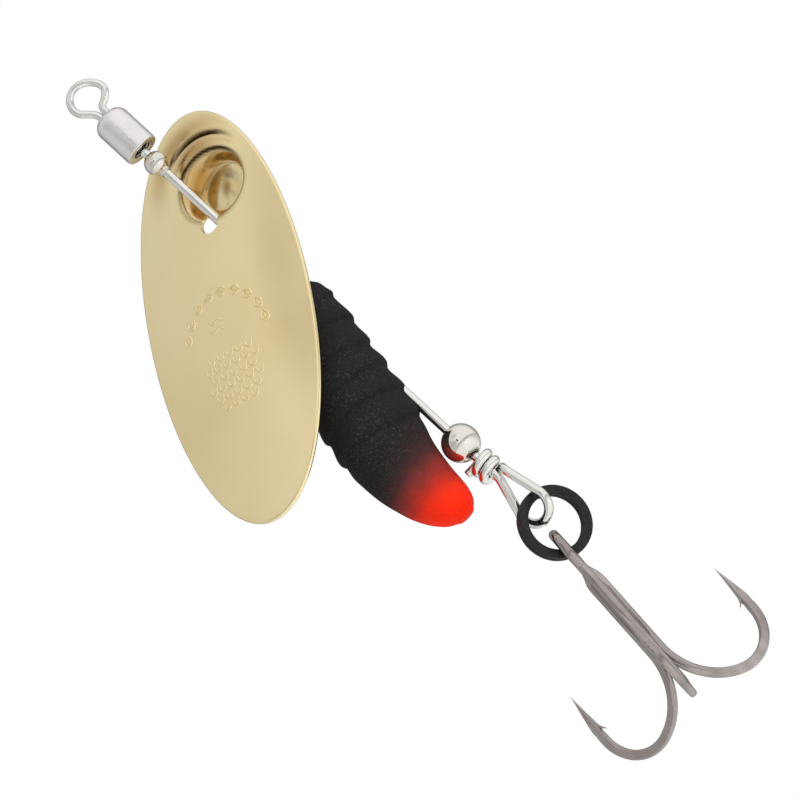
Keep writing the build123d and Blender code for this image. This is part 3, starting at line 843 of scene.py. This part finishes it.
def body_swell(along, angle):
    """How far the surface stands out, from its lumps and a slight waviness."""
    phase = along / LUMP_PITCH + 0.07 * math.sin(2 * angle + 0.9 * along)
    fade = ease((along - LUMPS_FROM) / LUMPS_FADE_IN, 0.3) * ease((LUMPS_TO - along) / LUMPS_FADE_OUT, 0.3)
    tooth = phase % 1.0
    lump = tooth / LUMP_RISE if tooth < LUMP_RISE else (1 - tooth) / 0.2
    lump = ease(lump, 0.35) - LUMP_MEAN
    wobble = 0.04 * math.sin(3 * angle + along * 0.7) + 0.02 * math.sin(5 * angle - along * 2.1)
    return LUMP_D * fade * lump + wobble * fade


def body_shell(sides=112, step=0.12):
    """Slanted soft body with uneven ring lumps and a rounded tail."""
    top = UP * BODY_ROWS[0][0]
    rings = []
    for centre_x, radius, z in body_profile(step):
        ring = []
        for j in range(sides):
            angle = 2 * math.pi * j / sides
            out = Vector((math.cos(angle), math.sin(angle), 0))
            point = Vector((centre_x, 0, z)) + out * radius
            ring.append(point + out * body_swell((point - top).dot(BODY_AXIS), angle))
        rings.append(ring)
    return tube(rings)


def make_body():
    """Rubber body with the running bore cut through it."""
    made = piece("grub_body", [body_shell()], RUBBER, "body", "grub_skin", sharp=60)
    cut(made, tube([circle(BORE_R, z, 48) for z in BODY_BORE]), sharp=55)
    core = NODES["grub_core"]
    core.data.materials.clear()
    core.data.materials.append(LEAD)


# ---------------------------------------------------------------- split ring
def make_ring():
    """Two turns of flattened black wire with one step between them."""
    centre = Vector(JOINTS["hook_swing"]["pos_m"]) / MM
    axis = Vector(JOINTS["hook_swing"]["axis"]).normalized()
    side = Vector(JOINTS["ring_swing"]["axis"]).normalized()
    upward = axis.cross(side)
    middle = (RING_OUT_R + RING_IN_R) / 2
    lift = (RING_COIL_T + RING_COIL_GAP) / 2
    first = RING_SPLIT_AT + RING_SPLIT
    total = 720 - RING_SPLIT
    line = []
    steps = 360
    for i in range(steps + 1):
        turned = total * i / steps
        share = ease((turned - (360 - RING_SPLIT)) / RING_SPLIT, 0.4)
        angle = math.radians(first + turned)
        out = side * math.cos(angle) + upward * math.sin(angle)
        line.append(centre + out * middle + axis * (lift * (2 * share - 1)))
    half_r, half_t = (RING_OUT_R - RING_IN_R) / 2, RING_COIL_T / 2
    wire = sweep(line, axis, lambda share: (half_t, half_r, 4.5, 1.0), sides=32, blunt=0.86)
    piece("split_ring_coil", [wire], BLACK_RING, "ring", "split_ring")


# ---------------------------------------------------------------- treble hook
LEAN = Matrix.Rotation(math.radians(HOOK_LEAN), 3, "Y")


def hung(shell):
    """A shell made under the eye's top, leaned and moved to the split ring."""
    points, faces = shell
    return [HOOK_EYE + LEAN @ point for point in points], faces


def hook_shell(azimuth, shank_top, foot=None):
    """One hook: shank, forged bend and conical point, as one tapering solid. Without a foot on the
    eye's leg its top is thinned, where it runs into the braze."""
    out = Vector((math.cos(math.radians(azimuth)), math.sin(math.radians(azimuth)), 0))
    bottom = -HOOK_LENGTH + HOOK_WIRE_R
    point_x, point_z = HOOK_REACH - BEND_POINT_R, bottom + BEND_POINT_R
    shank_x = SHANK_OFF + BEND_SHANK_R
    dx = shank_x - point_x
    swing = math.sqrt((BEND_SHANK_R - BEND_POINT_R) ** 2 - dx ** 2)
    join = 180 + math.degrees(math.atan2(swing, dx))
    top = out * SHANK_OFF + UP * shank_top
    line = [foot if foot else out * (SHANK_OFF - 0.16) + UP * (shank_top + 0.9)]
    line += [top, out * SHANK_OFF + UP * (point_z + swing + 0.1)]
    line += arc(out * shank_x + UP * (point_z + swing), out, UP, BEND_SHANK_R, 180, join, 24)
    line += arc(out * point_x + UP * point_z, out, UP, BEND_POINT_R, join + 2, 360, 40)
    tip = out * POINT_X + UP * (bottom + POINT_TIP)
    bow = out * (HOOK_REACH + 0.03) + UP * (bottom + 5.0)
    base = line[-1]
    shares = [k / 16 for k in range(1, 17)]
    line += [base * (1 - t) ** 2 + bow * (2 * t * (1 - t)) + tip * t * t for t in shares]
    line = even(softened(even(line, 0.05), top, 0.5), HOOK_STEP)
    length = (len(line) - 1) * HOOK_STEP
    chisel = 0.0 if foot else CHISEL_L

    def section(share):
        left = (1 - share) * length
        cone = 0.03 + 0.97 * ease(left / POINT_L, 0.1)
        if share * length < chisel:
            cone *= 0.45 + 0.55 * ease(share * length / chisel, 0.4)
        forged = ease((14.5 - left) / 2.0, 0.4) * ease((left - 0.8) / 2.0, 0.3)
        notch = 0.1 * bump(left, POINT_L + 0.35, 0.4)
        return (HOOK_WIRE_R * (cone + 0.04 * forged - notch), HOOK_WIRE_R * cone, 2.0, 1 - 0.26 * forged)
    return sweep(line, out, section, sides=36, blunt=0.7)


def barb_shell(azimuth):
    """Thorn cut up from the inside of the point."""
    out = Vector((math.cos(math.radians(azimuth)), math.sin(math.radians(azimuth)), 0))
    bottom = -HOOK_LENGTH + HOOK_WIRE_R
    inner = HOOK_REACH - HOOK_WIRE_R
    places = [out * (inner + x) + UP * (bottom + z) for x, z in BARB_PLACES]
    line = even(curve_through(places, 8), 0.06)

    def section(share):
        left = 1 - share ** 1.3
        return 0.17 * left + 0.012, 0.26 * left + 0.015, 2.4, 1.0
    return sweep(line, out, section, sides=20, blunt=0.5)


def eye_line():
    """Centre line of the eye, front to back, its legs side by side below it. Also gives how low the
    legs end and how far each stands from the middle."""
    top_z = -HOOK_WIRE_R - HOOK_EYE_R
    low_z = top_z - EYE_STRAIGHT
    leg = HOOK_WIRE_R + 0.01
    neck_y = leg + NECK_R
    neck_z = low_z - math.sqrt((HOOK_EYE_R + NECK_R) ** 2 - neck_y ** 2)
    leg_low = neck_z - EYE_LEG_RUN
    touch = math.degrees(math.atan2(low_z - neck_z, neck_y))
    line = [BACK * -leg + UP * leg_low]
    line += arc(BACK * -neck_y + UP * neck_z, BACK, UP, NECK_R, 0, touch, 10)
    line += arc(UP * low_z, BACK, UP, HOOK_EYE_R, 180 + touch, 180, 12)
    line += arc(UP * top_z, BACK, UP, HOOK_EYE_R, 180, 0, 30)
    line += arc(UP * low_z, BACK, UP, HOOK_EYE_R, 0, -touch, 12)
    line += arc(BACK * neck_y + UP * neck_z, BACK, UP, NECK_R, 180 - touch, 180, 10)
    line.append(BACK * leg + UP * leg_low)
    return even(line, 0.08), leg_low, leg


def braze_shell():
    """Braze with three grooves, between and around the shanks."""
    rings = []
    for i in range(61):
        share = i / 60
        z = -BRAZE_BOTTOM + (BRAZE_BOTTOM - BRAZE_TOP - 0.2) * share
        swell = math.sqrt(max(0.0, 1 - (2 * share - 1) ** 8))
        ring = []
        for j in range(60):
            angle = 2 * math.pi * j / 60
            groove = 0.5 * (1 - math.cos(3 * (angle - math.pi / 6)))
            radius = BRAZE_R + BRAZE_GROOVE * groove + 0.02 * math.sin(9 * share + angle)
            radius *= 0.35 + 0.65 * swell
            ring.append(Vector((radius * math.cos(angle), radius * math.sin(angle), z)))
        rings.append(ring)
    return tube(rings)


def make_treble():
    """Wire with the eye and two hooks, the third hook, and the braze between the shanks."""
    line, leg_low, leg = eye_line()
    shells = [sweep(line, RIGHT, round_wire(HOOK_WIRE_R), sides=32)]
    for azimuth, side in HOOK_AZIMUTHS:
        foot = Vector((0, side * leg, leg_low + 0.15))
        shells += [hook_shell(azimuth, leg_low - 1.0, foot), barb_shell(azimuth)]
    piece("treble_double", [hung(shell) for shell in shells], HOOK_STEEL, "treble", "treble_double_hook",
          sharp=60)
    third = [hung(hook_shell(THIRD_AZIMUTH, -BRAZE_TOP + 0.3)), hung(barb_shell(THIRD_AZIMUTH))]
    piece("treble_third", third, HOOK_STEEL, "treble", "treble_single_hook", sharp=60)
    piece("treble_braze_fill", [hung(braze_shell())], BRAZE, "treble", "treble_braze")


# ---------------------------------------------------------------- stage
def make_camera():
    """Long lens, looking up the shaft a little, turned so that the lure hangs to the lower right."""
    rise, roll = math.radians(CAMERA_RISE), math.radians(CAMERA_ROLL)
    forward = Vector((0, math.cos(rise), math.sin(rise)))
    shaft_up = Vector((0, -math.sin(rise), math.cos(rise)))
    right = RIGHT * math.sin(roll) - shaft_up * math.cos(roll)
    up = RIGHT * math.cos(roll) + shaft_up * math.sin(roll)
    data = bpy.data.cameras.new("camera")
    data.sensor_width = SENSOR
    data.lens = CAMERA_LENS
    data.clip_start = 0.01
    data.clip_end = 20.0
    camera = bpy.data.objects.new("camera", data)
    turn = Matrix((right, up, -forward)).transposed().to_4x4()
    camera.matrix_world = Matrix.Translation(CAMERA_TARGET * MM - forward * CAMERA_AWAY) @ turn
    bpy.context.scene.collection.objects.link(camera)
    bpy.context.scene.camera = camera


def softbox(name, place, size, power, tint=(1, 1, 1)):
    """Square area light that faces the middle of the lure."""
    data = bpy.data.lights.new(name, "AREA")
    data.size = size
    data.energy = power
    data.color = tint
    light = bpy.data.objects.new(name, data)
    place = Vector(place)
    light.location = place
    aim = (CAD_LOW + CAD_HIGH) / 2 - place
    light.rotation_mode = "QUATERNION"
    light.rotation_quaternion = aim.to_track_quat("-Z", "Y")
    light.visible_glossy = False
    bpy.context.scene.collection.objects.link(light)


# Each: a direction, two cosines of the angle to it, and the brightness at each of the two.
TENT_SIDES = ((0.86, -0.28, -0.42), -0.95, 0.45, 0.71, 1.05)
TENT_LOBES = [((0, 1, 0.1), 0.25, 0.85, 1.0, 0.36),             # dim behind the lure
              ((0, -0.968, -0.25), 0.990, 0.996, 1.0, 0.03),    # dark round opening in front
              ((-0.57, -0.8, 0.2), 0.86, 0.98, 1.0, 0.76),      # dim patch at the left
              ((0.03, -0.7, 0.72), 0.95, 0.995, 1.0, 0.78)]     # dim patch above
# Sides of the dark upright slit in front. Clamped one by one they add up to 0 inside it, 0.8 to
# its left and 1 elsewhere.
SLIT_EDGES = [((1, 0, 0), -0.15, -0.06, 1, 0.2), ((1, 0, 0), 0.0, 0.09, -0.2, 1),
              ((0, 1, 0), -0.8, -0.5, 0, 1), ((0, 0, 1), 0.3, 0.42, 0, 1), ((0, 0, 1), 0.05, 0.17, 1, 0)]


def make_world():
    """Light tent: white on the right, dimmer to the left and behind, dark where it is open in front.
    It only lights the lure and shows in its reflections. The background itself is plain white."""
    world = bpy.data.worlds.new("tent")
    world.use_nodes = True
    tree = world.node_tree
    where = tree.nodes.new("ShaderNodeTexCoord").outputs["Generated"]

    def facing(direction, low, high, to_low, to_high):
        dot = tree.nodes.new("ShaderNodeVectorMath")
        dot.operation = "DOT_PRODUCT"
        dot.inputs[1].default_value = Vector(direction).normalized()
        tree.links.new(where, dot.inputs[0])
        spread = tree.nodes.new("ShaderNodeMapRange")
        spread.interpolation_type = "SMOOTHSTEP"
        for key, value in (("From Min", low), ("From Max", high), ("To Min", to_low), ("To Max", to_high)):
            spread.inputs[key].default_value = value
        tree.links.new(dot.outputs["Value"], spread.inputs["Value"])
        return spread.outputs["Result"]

    def combined(first, second, operation, clamped=False):
        node = tree.nodes.new("ShaderNodeMath")
        node.operation = operation
        node.use_clamp = clamped
        tree.links.new(first, node.inputs[0])
        tree.links.new(second, node.inputs[1])
        return node.outputs["Value"]

    light = facing(*TENT_SIDES)
    for lobe in TENT_LOBES:
        light = combined(light, facing(*lobe), "MULTIPLY")
    slit = facing(*SLIT_EDGES[0])
    for edge in SLIT_EDGES[1:]:
        slit = combined(slit, facing(*edge), "ADD", clamped=True)
    light = combined(light, slit, "MULTIPLY")
    tent = tree.nodes.new("ShaderNodeBackground")
    tent.inputs["Color"].default_value = (1.0, 0.985, 0.965, 1)
    tree.links.new(light, tent.inputs["Strength"])
    shown = tree.nodes["Background"]
    shown.inputs["Color"].default_value = (1, 1, 1, 1)
    path = tree.nodes.new("ShaderNodeLightPath")
    mix = tree.nodes.new("ShaderNodeMixShader")
    tree.links.new(path.outputs["Is Camera Ray"], mix.inputs["Fac"])
    tree.links.new(tent.outputs["Background"], mix.inputs[1])
    tree.links.new(shown.outputs["Background"], mix.inputs[2])
    tree.links.new(mix.outputs["Shader"], tree.nodes["World Output"].inputs["Surface"])
    bpy.context.scene.world = world


def make_floor():
    """Plain pale floor well below the hanging lure."""
    mesh = bpy.data.meshes.new("floor")
    corners = [(x * FLOOR_HALF, y * FLOOR_HALF, FLOOR_Z) for x, y in ((-1, -1), (1, -1), (1, 1), (-1, 1))]
    mesh.from_pydata(corners, [], [(0, 1, 2, 3)])
    floor = bpy.data.objects.new("floor", mesh)
    shader = Shader("floor_paper")
    shader.set(Roughness=0.9)
    shader.color(shader.ramp(shader.noise(40), [(0.3, (0.80, 0.80, 0.79)), (0.7, (0.83, 0.83, 0.82))]))
    mesh.materials.append(shader.material)
    bpy.context.scene.collection.objects.link(floor)


make_line_eye()
make_barrel()
make_beads()
make_shaft()
make_blade()
make_body()
make_ring()
make_treble()
make_camera()
make_world()
make_floor()
softbox("key", (0.35, -0.45, 0.25), 0.35, 3.2)
softbox("fill", (-0.45, -0.35, -0.1), 0.4, 0.7, (1.0, 0.98, 0.95))
softbox("rim", (0.1, 0.45, 0.3), 0.3, 1.6)
bpy.context.scene.view_settings.view_transform = "Standard"
